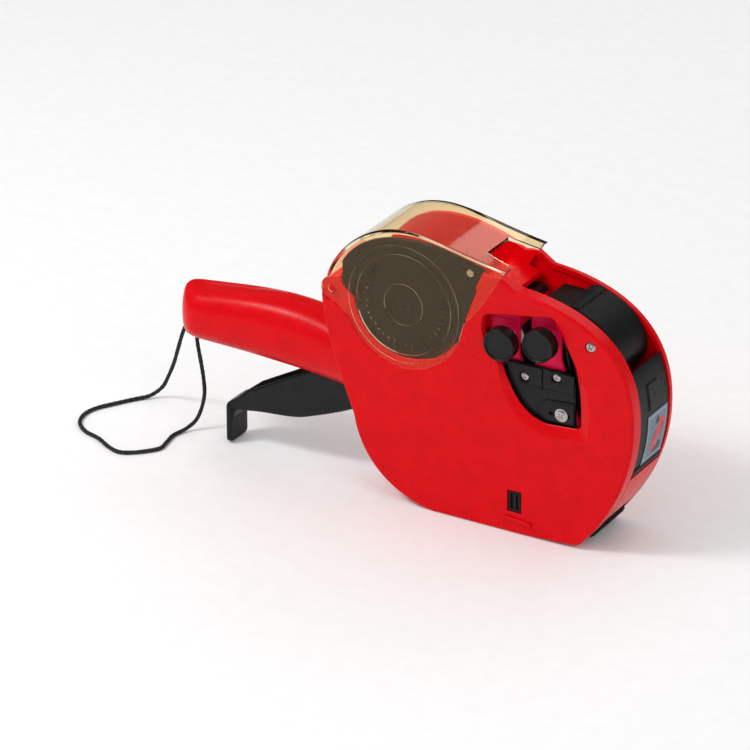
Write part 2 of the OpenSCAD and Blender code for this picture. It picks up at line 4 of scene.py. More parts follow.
import bmesh
import bpy
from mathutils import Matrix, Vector


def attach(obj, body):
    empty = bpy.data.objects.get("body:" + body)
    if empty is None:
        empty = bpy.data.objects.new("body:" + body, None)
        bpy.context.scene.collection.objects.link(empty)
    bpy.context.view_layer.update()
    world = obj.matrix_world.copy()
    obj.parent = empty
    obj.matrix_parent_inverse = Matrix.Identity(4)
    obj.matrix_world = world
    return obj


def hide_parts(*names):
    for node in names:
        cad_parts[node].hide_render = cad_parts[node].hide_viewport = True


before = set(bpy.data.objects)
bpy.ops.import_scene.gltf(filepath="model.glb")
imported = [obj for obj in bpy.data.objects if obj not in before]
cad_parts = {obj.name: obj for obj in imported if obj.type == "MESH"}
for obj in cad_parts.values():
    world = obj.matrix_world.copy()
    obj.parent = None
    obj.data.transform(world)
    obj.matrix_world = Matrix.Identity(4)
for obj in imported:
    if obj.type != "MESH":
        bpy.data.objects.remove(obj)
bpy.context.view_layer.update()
MM = 0.001
for given in list(bpy.data.materials):
    given.name = "packed_" + given.name

# ---- camera
LOOK = (-62.1, 0.0, 49.1)
AZIMUTH, ELEVATION, DISTANCE = 30.3, 25.6, 2000.0
az, el = math.radians(AZIMUTH), math.radians(ELEVATION)
back = Vector((math.sin(az) * math.cos(el), -math.cos(az) * math.cos(el), math.sin(el)))
cam = bpy.data.objects.new("Camera", bpy.data.cameras.new("Camera"))
bpy.context.scene.collection.objects.link(cam)
cam.location = (Vector(LOOK) + back * DISTANCE) * MM
cam.rotation_mode = "QUATERNION"
cam.rotation_quaternion = (-back).to_track_quat("-Z", "Y")
cam.data.sensor_width = 36.0
cam.data.lens = 216.6
cam.data.clip_start = 0.1
cam.data.clip_end = 50.0
bpy.context.scene.camera = cam

# ---- sizes shared with the CAD source
HALF_W, WALL, INNER_W = 19.0, 2.3, 16.7
NEAR_RIM, FAR_RIM = -11.5, 15.7
COVER_OUT, COVER_T, PANEL_OUT, PANEL_IN = 19.2, 1.6, 17.3, 15.1
ROLL_R, ROLLER_R = 29.0, 5.6
PIVOT, ROLL_C, COVER_PIN, INK_PIN = (-42.5, 58.0), (-36.9, 96.5), (-73.0, 96.4), (70.3, 38.4)
BASE_PIN, ROLLER_C = (41.8, 2.0), (50.5, 8.3)
KNOBS = [(13.5, 91.5), (32.3, 95.3)]
PRINT_LINE = [(31.5, 42.0), (45.5, 46.5)]
PLATE_SCREWS = [(21.4, 75.0), (36.9, 78.0)]
ADJUST_C, RIM_SCREW = (39.7, 61.0), (54.5, 97.8)
SIDE_SCREWS = [(-151, 57), (-88, 69.5), (-52, 32), (58.5, 20.5)]
LATCH_LO, LATCH_HI = (15.5, 10.0), (22.5, 20.5)
GRIP_Z, GRIP_W = 60.5, 13.0
CORNERS = ((-1, -1), (-1, 1), (1, 1), (1, -1))


# ---- curves in the X-Z plane, run clockwise so that the inside is on the right
def bez(a, b, c, d, n=14):
    out = []
    for i in range(n + 1):
        t = i / n
        s = 1 - t
        w = (s * s * s, 3 * s * s * t, 3 * s * t * t, t * t * t)
        out.append(tuple(sum(k * p[j] for k, p in zip(w, (a, b, c, d))) for j in range(2)))
    return out


def arc(c, r, a0, a1, n=16):
    angles = [math.radians(a0 + (a1 - a0) * i / n) for i in range(n + 1)]
    return [(c[0] + r * math.cos(a), c[1] + r * math.sin(a)) for a in angles]


def circle(c, r, n=40):
    return arc(c, r, 360, 360 / n, n - 1)


def box2(x0, z0, x1, z1):
    return [(x0, z0), (x0, z1), (x1, z1), (x1, z0)]


def tidy(p, closed=True):
    out = []
    for q in p:
        if not out or math.dist(q, out[-1]) > 0.05:
            out.append(tuple(q))
    if closed and math.dist(out[0], out[-1]) <= 0.05:
        out.pop()
    return out


def inward(q, d, closed=True):
    """Moves a curve to its right by d, with mitred corners."""
    p = tidy(q, closed)
    n = len(p)
    out = []
    for i in range(n):
        a = p[i - 1] if closed or i else p[i]
        b = p[(i + 1) % n] if closed or i < n - 1 else p[i]
        u = Vector((p[i][1] - a[1], a[0] - p[i][0]))
        v = Vector((b[1] - p[i][1], p[i][0] - b[0]))
        u = (u if u.length else v).normalized()
        v = (v if v.length else u).normalized()
        k = d(u + v) if callable(d) else d
        m = (u + v) / max(1 + u.dot(v), 0.25)
        out.append((p[i][0] + k * m.x, p[i][1] + k * m.y))
    return out


def away(q, a, b):
    """Distance of point q from the line piece from a to b."""
    q, a, b = Vector(q), Vector(a), Vector(b)
    t = max(0.0, min(1.0, (q - a).dot(b - a) / max((b - a).length_squared, 1e-9)))
    return (q - a.lerp(b, t)).length


def inset(q, d):
    """Inward copy of a closed outline without the loops that tight corners make."""
    p = tidy(q)
    sides = list(zip(p, p[1:] + p[:1]))
    return tidy([m for m in inward(p, d) if min(away(m, a, b) for a, b in sides) > 0.985 * d])


def backwards(p):
    return p[::-1]


def spline(p, i, f):
    """Catmull-Rom point at share f of the stretch that follows point i."""
    a, b, c, d = (Vector(p[k]) for k in (max(i - 1, 0), i, i + 1, min(i + 2, len(p) - 1)))
    return 0.5 * (2 * b + (c - a) * f + (2 * a - 5 * b + 4 * c - d) * f * f
                  + (3 * b - a - 3 * c + d) * f * f * f)


def smooth(p, n=5):
    """The spline through p as points, n to a stretch."""
    return [tuple(spline(p, i, j / n)) for i in range(len(p) - 1) for j in range(n)] + [p[-1]]


front_top = bez((18, 115), (46, 113), (76.5, 101), (75.9, 62), 34)
front_low = bez((75.9, 62), (75.9, 40), (66, 19), (51.3, 2.6), 30)
toe = bez((51.3, 2.6), (49.5, 0.8), (40, 0.9), (22.5, 0), 10)
heel = bez((-22.5, 0), (-40, 2.5), (-58, 14), (-62.2, 37.4), 26)
back_edge = bez((-62.2, 37.4), (-64.5, 45), (-77.5, 72), (-78.4, 92), 18)
hinge_end = arc(COVER_PIN, 5.5, 190, 80, 14)
arch = bez((-66, 104), (-52, 134), (-22, 130), (4, 119), 26)
CASING = tidy(front_top + front_low + toe + heel + back_edge + hinge_end + arch + [(10.5, 120)])
HOLLOW = inset(CASING, WALL)

cover_top = tidy(bez((-75.4, 102.6), (-72.5, 113), (-58, 131.7), (-34.5, 131.7), 26)
                 + bez((-34.5, 131.7), (-22, 131.7), (-6, 126.2), (13.6, 123.4), 24), False)
cover_low = ([(10.4, 119.4), (3.3, 107.3), (-0.7, 101.6), (-7.1, 93.8)]
             + arc(ROLL_C, ROLL_R + 0.9, -24, -156, 44) + [(-73.5, 90.9)])
COVER = tidy(cover_top + cover_low)


def plate_pts(g):
    """The plate that closes the roll compartment on the right, grown by g all round."""
    rim = []
    for i in range(56):
        a = math.radians(-8 - 164 * i / 55)
        t = min(1, max(0, (-math.degrees(a) - 12) / 60))
        r = ROLL_R - 0.4 - 2.5 * t + g
        rim.append((ROLL_C[0] + t + r * math.cos(a), ROLL_C[1] + t + r * math.sin(a)))
    return tidy(rim
                + [(-66.4 - g, 97), (-68.4 - g, 101), (-68.4 - g, 110)]
                + bez((-68.4 - g, 110), (-58, 128.4 + g), (-30, 132 + g), (2 + g, 121.6 + g), 26)
                + [(-2 + g, 113), (-2 + g, 110)])


WINDOW = tidy([(2.6, 96), (3.2, 100)] + arc((6.5, 98.6), 3, 150, 100, 5) + [(33, 106)]
              + arc((35, 103.4), 2.8, 80, 15, 6) + bez((40, 100.5), (46, 89), (49.3, 80), (49.5, 62), 16)
              + arc((47, 59.8), 2.6, 0, -80, 7) + bez((33.6, 56.3), (22, 57.5), (17, 66), (11.2, 79.4), 18)
              + bez((10, 81), (5, 86.5), (3, 89), (2.6, 96), 10))
GRIP_TOP = bez((-158.5, 73.6), (-138, 73.4), (-114, 83.4), (-70, 72.5), 60)
GRIP_LOW = [(-62, 42.5), (-90, 44.6), (-124, 46.6), (-156, 47.8)]
HOOD = tidy(bez((43.5, 109.6), (53, 107.6), (64, 100), (64.9, 88), 24)
            + bez((64.9, 88), (64.6, 84), (62, 80), (58.8, 75.3), 10), False)
INK_CURVE = [p for p in inward(front_top + front_low, 0.6, False) if 39.2 < p[1] < 87 and p[0] > 60]
LEVER_TOP = [(-135.6, 18.9), (-134.9, 20.6), (-133.6, 21.9), (-131.5, 23), (-124.2, 28.9),
             (-90.5, 47.5), (-75.5, 49.5), (-58, 57), (-47, 63)]
LEVER_LOW = [(-38, 54), (-52, 44), (-70.3, 32.7), (-91.1, 24.1), (-101.5, 21.2), (-117.5, 19.6),
             (-127, 18.2), (-133, 17.6), (-135.5, 17.6)]
STRAP = [(-156, 0, 50), (-155.6, 0, 46), (-155, 0, 41), (-153.5, 0, 33), (-152.3, 0, 25), (-152, 0, 18),
         (-153, -1, 11), (-155, -3, 5), (-158, -7, 1.6), (-160, -14, 1), (-159, -21, 1), (-158, -28, 1),
         (-161, -33, 1), (-166, -38, 1), (-172, -41, 1), (-179, -39, 1), (-188, -34, 1), (-197, -31, 1),
         (-204, -25, 1), (-207, -17, 1), (-206, -9, 1), (-201, 0, 1), (-196, 8, 1), (-191, 14, 1.6),
         (-186, 17, 6), (-181, 15, 14), (-176, 12, 23), (-171, 8, 33), (-166, 4, 43), (-162, 1.5, 50),
         (-159, 0.5, 55)]
STRAP_D = 2.0
STRAP_RINGS, STRAP_SIDES, STRAP_SAMPLES = 900, 16, 4000


# ---- node materials
def nodes_of(name):
    mat = bpy.data.materials.new(name)
    mat.use_nodes = True
    nt = mat.node_tree
    shader = nt.nodes["Principled BSDF"]
    return mat, nt, shader


def put(nt, kind, **values):
    """Adds a node; keys are its properties, or its inputs where they start with in_."""
    node = nt.nodes.new(kind)
    for key, value in values.items():
        if key.startswith("in_"):
            node.inputs[key[3:].replace("_", " ")].default_value = value
        else:
            setattr(node, key, value)
    return node


def wire(nt, a, out, b, into):
    nt.links.new(a.outputs[out], b.inputs[into])


def grain(nt, scale, detail=4.0, rough=0.55, stretch=None):
    """Noise in object space; returns its node."""
    coord = put(nt, "ShaderNodeTexCoord")
    noise = put(nt, "ShaderNodeTexNoise", in_Scale=scale, in_Detail=detail, in_Roughness=rough)
    if stretch:
        mapping = put(nt, "ShaderNodeMapping", in_Scale=stretch)
        wire(nt, coord, "Object", mapping, "Vector")
        wire(nt, mapping, "Vector", noise, "Vector")
    else:
        wire(nt, coord, "Object", noise, "Vector")
    return noise


def ranged(nt, source, out, lo, hi, a=0.3, b=0.7):
    node = put(nt, "ShaderNodeMapRange")
    node.inputs["From Min"].default_value = a
    node.inputs["From Max"].default_value = b
    node.inputs["To Min"].default_value = lo
    node.inputs["To Max"].default_value = hi
    wire(nt, source, out, node, "Value")
    return node


def ramp(nt, source, out, stops):
    node = put(nt, "ShaderNodeValToRGB")
    elements = node.color_ramp.elements
    while len(elements) < len(stops):
        elements.new(0.5)
    for element, (place, colour) in zip(elements, stops):
        element.position = place
        element.color = (*colour, 1)
    wire(nt, source, out, node, "Fac")
    return node


def plastic(name, dark, light, rough, spec=0.5, fine=0.05, fine_scale=2600, swirl=120, scuffs=0.0):
    """Moulded plastic: slow colour drift, a fine moulded grain, uneven sheen and faint scuffs."""
    mat, nt, bsdf = nodes_of(name)
    drift = grain(nt, swirl, 3, 0.5)
    colour = ramp(nt, drift, "Fac", [(0.35, dark), (0.65, light)])
    wire(nt, colour, "Color", bsdf, "Base Color")
    sheen = grain(nt, 420, 5, 0.6)
    spread = ranged(nt, sheen, "Fac", rough - 0.05, rough + 0.07)
    wear = grain(nt, 240, 2, 0.5, (1, 1, 9))
    scratches = ranged(nt, wear, "Fac", 0, scuffs, 0.62, 0.75)
    total = put(nt, "ShaderNodeMath", operation="ADD")
    wire(nt, spread, "Result", total, 0)
    wire(nt, scratches, "Result", total, 1)
    wire(nt, total, "Value", bsdf, "Roughness")
    pores = grain(nt, fine_scale, 2, 0.6)
    bump = put(nt, "ShaderNodeBump", in_Strength=fine, in_Distance=0.0001)
    wire(nt, pores, "Fac", bump, "Height")
    wire(nt, bump, "Normal", bsdf, "Normal")
    bsdf.inputs["Specular IOR Level"].default_value = spec
    return mat


def metal(name, dark, light, rough):
    """Brushed metal, its fine lines along one way."""
    mat, nt, bsdf = nodes_of(name)
    brushed = grain(nt, 900, 4, 0.6, (1, 12, 1))
    colour = ramp(nt, brushed, "Fac", [(0.3, dark), (0.7, light)])
    wire(nt, colour, "Color", bsdf, "Base Color")
    spread = ranged(nt, brushed, "Fac", rough - 0.06, rough + 0.1)
    wire(nt, spread, "Result", bsdf, "Roughness")
    bump = put(nt, "ShaderNodeBump", in_Strength=0.12, in_Distance=0.0001)
    wire(nt, brushed, "Fac", bump, "Height")
    wire(nt, bump, "Normal", bsdf, "Normal")
    bsdf.inputs["Metallic"].default_value = 1.0
    return mat


def amber(name, tint, glow):
    """Clear moulded plastic; lamps pass through it by the shadow-ray stand-in."""
    mat, nt, bsdf = nodes_of(name)
    bsdf.inputs["Base Color"].default_value = (*tint, 1)
    bsdf.inputs["Transmission Weight"].default_value = 1.0
    bsdf.inputs["IOR"].default_value = 1.42
    bsdf.inputs["Specular IOR Level"].default_value = 0.3
    bsdf.inputs["Specular Tint"].default_value = (0.50, 0.42, 0.34, 1)
    smear = grain(nt, 160, 4, 0.55)
    spread = ranged(nt, smear, "Fac", 0.015, 0.06)
    wire(nt, spread, "Result", bsdf, "Roughness")
    flow = grain(nt, 90, 3, 0.5)
    bump = put(nt, "ShaderNodeBump", in_Strength=0.05, in_Distance=0.0003)
    wire(nt, flow, "Fac", bump, "Height")
    wire(nt, bump, "Normal", bsdf, "Normal")
    haze = put(nt, "ShaderNodeBsdfDiffuse")
    haze.inputs["Color"].default_value = (*glow, 1)
    body = put(nt, "ShaderNodeMixShader")
    body.inputs[0].default_value = 0.012
    wire(nt, bsdf, "BSDF", body, 1)
    wire(nt, haze, "BSDF", body, 2)
    clear = put(nt, "ShaderNodeBsdfTransparent")
    clear.inputs["Color"].default_value = (*[c ** 0.5 for c in tint], 1)
    path = put(nt, "ShaderNodeLightPath")
    pick = put(nt, "ShaderNodeMixShader")
    wire(nt, path, "Is Shadow Ray", pick, 0)
    wire(nt, body, "Shader", pick, 1)
    wire(nt, clear, "BSDF", pick, 2)
    wire(nt, pick, "Shader", nt.nodes["Material Output"], "Surface")
    return mat


RED = plastic("casing_red", (0.62, 0.0003, 0.0035), (0.68, 0.0005, 0.005), 0.26, 0.12, 0.006, 1100,
              scuffs=0.02)
AMBER = amber("amber_clear", (0.99, 0.85, 0.60), (0.36, 0.15, 0.05))
BLACK = plastic("black_plastic", (0.0045, 0.0045, 0.005), (0.0075, 0.0075, 0.008), 0.38, 0.24, 0.08,
                1300, scuffs=0.06)
SATIN = plastic("black_satin", (0.005, 0.005, 0.0055), (0.008, 0.008, 0.0085), 0.46, 0.24, 0.12, 1300,
                scuffs=0.05)
MAGENTA = plastic("magenta_plastic", (0.74, 0.001, 0.055), (0.82, 0.0015, 0.07), 0.36, 0.14, 0.04, 1300)
WHITE = plastic("white_plastic", (0.66, 0.65, 0.62), (0.74, 0.73, 0.70), 0.38, 0.45, 0.06)
STEEL = metal("steel", (0.36, 0.355, 0.34), (0.60, 0.59, 0.57), 0.26)
RUBBER = plastic("rubber", (0.008, 0.008, 0.008), (0.014, 0.014, 0.014), 0.62, 0.3, 0.35, 1500)
FOAM = plastic("ink_foam", (0.012, 0.006, 0.030), (0.022, 0.012, 0.05), 0.9, 0.2, 0.9, 900)
FACE = plastic("sticker_face", (0.10, 0.15, 0.20), (0.125, 0.18, 0.24), 0.34, 0.4, 0.04)
LINE = plastic("sticker_line", (0.30, 0.36, 0.43), (0.36, 0.42, 0.50), 0.34, 0.4, 0.04)
SIGNAL = plastic("sticker_red", (0.58, 0.012, 0.018), (0.66, 0.018, 0.025), 0.34, 0.4, 0.04)
INKED = plastic("sticker_ink", (0.010, 0.012, 0.025), (0.016, 0.018, 0.035), 0.34, 0.4, 0.04)
BRAID = plastic("braid", (0.012, 0.013, 0.013), (0.030, 0.032, 0.032), 0.82, 0.25, 0.7, 1800, 900)


# ---- building
def link(name, mesh, mats):
    obj = bpy.data.objects.new(name, mesh)
    bpy.context.scene.collection.objects.link(obj)
    for m in mats if isinstance(mats, (list, tuple)) else [mats]:
        mesh.materials.append(m)
    return obj


def from_bmesh(name, bm, mats):
    bmesh.ops.recalc_face_normals(bm, faces=bm.faces)
    mesh = bpy.data.meshes.new(name)
    bm.to_mesh(mesh)
    bm.free()
    return link(name, mesh, mats)


def skin(name, rings, mats):
    """A skin over rings with the same count of points, closed at both ends."""
    bm = bmesh.new()
    rows = [[bm.verts.new(Vector(p) * MM) for p in ring] for ring in rings]
    for a, b in zip(rows, rows[1:]):
        for i in range(len(a)):
            j = (i + 1) % len(a)
            bm.faces.new((a[i], a[j], b[j], b[i]))
    bm.faces.new(rows[0])
    bm.faces.new(rows[-1][::-1])
    return from_bmesh(name, bm, mats)


def prism(name, outline, y0, y1, mats, r0=0.0, r1=None, steps=3):
    """An X-Z outline carried along Y, its edges rounded by r0 at y0 and by r1 at y1."""
    r1 = r0 if r1 is None else r1
    outline = tidy(outline)
    rings = []
    for r, y, side in ((r0, y0, 1), (r1, y1, -1)):
        part = []
        for k in range(steps + 1 if r else 1):
            a = math.pi / 2 * k / steps if r else math.pi / 2
            flat = inward(outline, r * (1 - math.sin(a))) if r else outline
            part.append([(x, y + side * r * (1 - math.cos(a)), z) for x, z in flat])
        rings += part if side > 0 else part[::-1]
    return skin(name, rings, mats)


def lathe(name, profile, centre, mats, n=56, along=1.0):
    """A closed profile of (radius, y) turned about a line along Y; radius 0 closes an end."""
    bm = bmesh.new()
    rows = []
    for r, y in profile:
        if r < 1e-6:
            rows.append([bm.verts.new(Vector((centre[0], y * along, centre[1])) * MM)])
        else:
            rows.append([bm.verts.new(Vector((x, y * along, z)) * MM) for x, z in circle(centre, r, n)])
    closed = profile[0][0] > 0 and profile[-1][0] > 0
    for a, b in list(zip(rows, rows[1:])) + ([(rows[-1], rows[0])] if closed else []):
        for i in range(n):
            j = (i + 1) % n
            ring = [a[i % len(a)], a[j % len(a)], b[j % len(b)], b[i % len(b)]]
            bm.faces.new(list(dict.fromkeys(ring)))
    return from_bmesh(name, bm, mats)


def cuboid(name, lo, hi, mats):
    return prism(name, box2(lo[0], lo[2], hi[0], hi[2]), lo[1], hi[1], mats)


def settle(obj):
    """Makes the object's modifiers part of its mesh."""
    dg = bpy.context.evaluated_depsgraph_get()
    mesh = bpy.data.meshes.new_from_object(obj.evaluated_get(dg), preserve_all_data_layers=True,
                                           depsgraph=dg)
    obj.modifiers.clear()
    obj.data = mesh
    return obj


def merged(name, parts):
    """One object out of several, their meshes kept as they are."""
    bm = bmesh.new()
    mats = []
    for part in parts:
        for m in part.data.materials:
            if m not in mats:
                mats.append(m)
        start = len(bm.faces)
        bm.from_mesh(part.data)
        bm.faces.ensure_lookup_table()
        for f in bm.faces[start:]:
            f.material_index = mats.index(part.data.materials[f.material_index])
    mesh = bpy.data.meshes.new(name)
    bm.to_mesh(mesh)
    bm.free()
    for part in parts:
        bpy.data.objects.remove(part)
    return link(name, mesh, mats)


def carve(obj, tools, op="DIFFERENCE", overlapping=True):
    """Exact boolean with tool solids, which are then removed; ones that don't overlap go in one step."""
    if not overlapping and len(tools) > 1:
        tools = [merged("tool", tools)]
    for tool in tools:
        mod = obj.modifiers.new("carve", "BOOLEAN")
        mod.operation, mod.solver, mod.object = op, "EXACT", tool
        mod.material_mode = "TRANSFER"
        settle(obj)
        bpy.data.objects.remove(tool)
    return obj


def soften(obj, width=0.25, angle=40, segments=2, weld=False):
    """Small rounded edges, smooth faces with even normals."""
    if weld:
        obj.modifiers.new("weld", "WELD").merge_threshold = 0.000005
    if width:
        split = obj.modifiers.new("split", "TRIANGULATE")
        split.min_vertices = 5
        mod = obj.modifiers.new("edge", "BEVEL")
        mod.width = width * MM
        mod.segments = segments
        mod.limit_method = "ANGLE"
        mod.angle_limit = math.radians(angle)
        mod.use_clamp_overlap = False
        mod.miter_outer = "MITER_ARC"
    if not weld:
        obj.data.polygons.foreach_set("use_smooth", [True] * len(obj.data.polygons))
        obj.data.set_sharp_from_angle(angle=math.radians(angle))
        obj.modifiers.new("normals", "WEIGHTED_NORMAL").keep_sharp = True
    return obj


def finish_piece(obj, body, slot, *nodes):
    if nodes:
        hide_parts(*nodes)
    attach(obj, body)
    return obj


# ---- wrist strap, first of all
def strap_path():
    """Evenly spaced points along the strap, and its length."""
    fine = []
    for i in range(STRAP_SAMPLES + 1):
        u = min(i / STRAP_SAMPLES, 0.999999) * (len(STRAP) - 1)
        fine.append(spline(STRAP, int(u), u - int(u)))
    run = [0.0]
    for p, q in zip(fine, fine[1:]):
        run.append(run[-1] + (q - p).length)
    points, k = [], 0
    for i in range(STRAP_RINGS + 1):
        want = run[-1] * i / STRAP_RINGS
        while k < STRAP_SAMPLES - 1 and run[k + 1] < want:
            k += 1
        share = (want - run[k]) / max(run[k + 1] - run[k], 1e-9)
        points.append(fine[k].lerp(fine[k + 1], min(1, share)))
    return points, run[-1]


def braid(points, length):
    """Rings of a braided cord: strands that cross both ways, with a slightly uneven thickness."""
    across = Vector((0, 1, 0))
    rings = []
    for i, p in enumerate(points):
        ahead = (points[min(i + 1, STRAP_RINGS)] - points[max(i - 1, 0)]).normalized()
        across = (across - ahead * across.dot(ahead)).normalized()
        other = ahead.cross(across)
        s = length * i / STRAP_RINGS
        lump = 0.025 * math.sin(s * 0.41 + 1.3) + 0.02 * math.sin(s * 0.93)
        ring = []
        for j in range(STRAP_SIDES):
            a = 2 * math.pi * j / STRAP_SIDES
            weave = abs(math.sin(2 * a + s * 1.15)) * abs(math.sin(2 * a - s * 1.15))
            r = STRAP_D / 2 * (0.845 + 0.13 * weave + lump)
            ring.append(p + r * (math.cos(a) * across + math.sin(a) * other))
        rings.append(ring)
    return rings


path, strap_length = strap_path()
strap = soften(skin("wrist_strap_braid", braid(path, strap_length), BRAID), 0)
finish_piece(strap, "casing", "braid", "wrist_strap")


# ---- casing
def superellipse(w, h, z, n, k, side):
    """Points (y, z) round a rounded section at height z; side -1 or 1 keeps only that half."""
    out = []
    for i in range(n):
        a = 2 * math.pi * (i + 0.5) / n
        c, s = math.cos(a), math.sin(a)
        py = w * math.copysign(abs(c) ** (2 / k), c)
        if side and py * side < -1e-9:
            continue
        out.append((py, z + h * math.copysign(abs(s) ** (2 / k), s)))
    return out


def along_curve(curve, x):
    """Height of a curve, whose x runs one way, at x."""
    pts = sorted(curve)
    x = min(max(x, pts[0][0]), pts[-1][0])
    for a, b in zip(pts, pts[1:]):
        if a[0] <= x <= b[0]:
            return a[1] + (b[1] - a[1]) * (x - a[0]) / max(b[0] - a[0], 1e-9)
    return pts[-1][1]


def grip(name, side, inset=0.0):
    """Half of the handle, lofted along X, with a rounded rear end."""
    rings = []
    end, edge, plan = -160.5 + inset, 4.0, 12.0
    steps = [end + plan * (1 - math.cos(math.pi / 2 * i / 12)) for i in range(13)]
    steps += [x for x in range(-156, -64, 2) if x > steps[-1] + 0.5]
    for x in steps:
        shrink = edge - math.sqrt(edge ** 2 - max(0.0, edge - (x - end)) ** 2)
        round_off = math.sqrt(max(0.05, 1 - max(0.0, 1 - (x - end) / plan) ** 2))
        top = along_curve(GRIP_TOP, max(x, -158)) - inset - shrink
        low = along_curve(GRIP_LOW, max(x, -155)) + inset + shrink
        flare = max(0.0, (x + 92) / 26)
        w = (GRIP_W - inset) * round_off + 3.2 * flare ** 2
        ring = superellipse(w, (top - low) / 2, (top + low) / 2, 88, 2.3, side)
        dip = 0 if inset else 1.1 * max(0, min(1, (x + 154) / 3)) * max(0, min(1, (-108 - x) / 18))
        ring = [(y, z - dip * max(0, min(1, (7.5 - abs(y)) / 3))) if z > GRIP_Z else (y, z) for y, z in ring]
        if side:
            ring.sort(key=lambda p: p[1])
            ring += [(0, ring[-1][1]), (0, ring[0][1])]
        rings.append([(x, y, z) for y, z in ring])
    return skin(name, rings, RED)


def slab(name, outline, side, near, far, r_near=0.0, r_far=0.0):
    """Prism from |y| = near to |y| = far on one side; the radii round its edges."""
    y0, y1 = sorted((side * near, side * far))
    ra, rb = (r_near, r_far) if side > 0 else (r_far, r_near)
    return prism(name, outline, y0, y1, RED, ra, rb, 6)


def window_recess():
    """Sloped recess round the window, widest along its bottom."""
    mid = Vector((27, 79))
    rings = []
    for y, share in ((-HALF_W - 1, 1.0), (-HALF_W, 1.0), (-HALF_W + 2.0, 0.08), (-INNER_W + 0.4, 0.05)):
        ring = []
        for q in WINDOW:
            u = (Vector(q) - mid).normalized()
            below, ahead = max(0.0, -u.y), max(0.0, u.x)
            d = 1.0 + 4.6 * below ** 0.9 + 3.4 * ahead ** 2 * max(0.0, min(1.0, 1 - 1.6 * u.y))
            ring.append((q[0] + u.x * d * share, y, q[1] + u.y * d * share))
        rings.append(ring)
    return skin("window", rings, RED)


def casing(side):
    shell = slab("shell", CASING, side, 0, HALF_W, 0, 1.3)
    carve(shell, [grip("grip", side)], "UNION")
    cavity = slab("cavity", HOLLOW, side, -0.5, INNER_W)
    carve(cavity, [slab("keep", COVER, side, PANEL_IN, HALF_W)])
    carve(shell, [cavity])
    carve(shell, [
        grip("inside", 0, WALL),
        cuboid("slot", (-149, -8, 30), (-64, 8, GRIP_Z - 6), RED),
        cuboid("slot", (-80, -7.6, 27), (-50, 7.6, 64), RED),
        cuboid("top", (-71, -PANEL_IN, 99), (12, PANEL_IN, 135), RED),
        cuboid("base", (-20.4, -14, -1), (BASE_PIN[0] + 2, 14, WALL + 1.6), RED),
        cuboid("gap", (BASE_PIN[0] + 1, NEAR_RIM, -1), (60, FAR_RIM, 13.6), RED),
    ])
    bosses = [slab("boss", circle(PIVOT, 5.5), side, 15.6, INNER_W + 0.3)]
    for c in SIDE_SCREWS:
        bosses.append(slab("post", circle(c, 3, 24), side, 0, (GRIP_W - 2.6 if c[0] < -80 else HALF_W) - 1.6))
    carve(shell, bosses, "UNION")
    holes = [
        slab("seat", COVER, side, PANEL_OUT, HALF_W + 1),
        slab("seat", circle(COVER_PIN, 6.2), side, PANEL_OUT, HALF_W + 1.5),
        slab("latch", box2(*LATCH_LO, *LATCH_HI), side, INNER_W - 1, HALF_W + 1),
        slab("shaft", circle(PIVOT, 3.06), side, -1, INNER_W),
        slab("hinge", circle(COVER_PIN, 1.56, 24), side, -1, HALF_W + 2),
        slab("base", circle(BASE_PIN, 0.86, 20), side, 13, 15.6),
    ]
    if side < 0:
        y = NEAR_RIM
        carve(shell, [cuboid("front", (12, y, 13.6), (90, 1, 130), RED)])
        carve(shell, [slab("post", circle(RIM_SCREW, 2.9, 32), side, 12.2, INNER_W + 0.3)], "UNION")
        holes += [
            slab("plate", plate_pts(0.4), side, -1, HALF_W + 1.7),
            cuboid("sliver", (-60, -HALF_W - 1, 124), (0, 1, 130), RED),
            window_recess(),
            slab("window", WINDOW, side, INNER_W - 1.2, HALF_W - 0.5),
            slab("pocket", circle(RIM_SCREW, 2.5, 32), side, HALF_W - 0.9, HALF_W + 1.2),
            slab("screw", circle(RIM_SCREW, 1.1, 20), side, 12, HALF_W + 2),
            slab("ink", circle(INK_PIN, 1.26, 20), side, -y - 0.5, 14.5),
        ]
        holes += [slab("screw", circle(c, 1.1, 20), side, -0.5, 7) for c in SIDE_SCREWS]
    else:
        carve(shell, [cuboid("front", (12, -1, 35.8), (90, FAR_RIM, 130), RED)])
        nose = prism("nose", CASING, NEAR_RIM + 0.1, 1, RED)
        carve(nose, [prism("hollow", HOLLOW, -20, 20, RED)])
        carve(nose, [cuboid("keep", (50, -30, 13.6), (90, 30, 35.8), RED)], "INTERSECT")
        carve(shell, [nose], "UNION")
        holes += [
            prism("ink", circle(INK_PIN, 1.26, 20), FAR_RIM - 1, FAR_RIM + 2, RED),
            prism("hub", circle(ROLL_C, 4.06, 32), PANEL_IN - 1, HALF_W + 1, RED),
        ]
        for c in SIDE_SCREWS:
            out = GRIP_W if c[0] < -80 else HALF_W
            holes += [prism("screw", circle(c, 1.1, 20), -0.5, HALF_W + 2, RED),
                      prism("pocket", circle(c, 2.5, 28), out - 3.2, HALF_W + 1, RED)]
    carve(shell, holes)
    return shell


near = casing(-1)
near.name = "casing_right_half"
soften(near, 0.3, 21)
finish_piece(near, "casing", "casing_red", "right_shell")
far = casing(1)
far.name = "casing_left_half"
soften(far, 0, 21)
finish_piece(far, "casing", "casing_red", "left_shell")
LATCH_RIB = [(14.1, 6.2), (14.2, 8.0), (27.7, 7.05), (27.6, 5.25)]
rib = soften(prism("latch_rib", LATCH_RIB, -20.1, -18.6, RED, 0.6, 0, 5), 0)
finish_piece(rib, "casing", "casing_red")


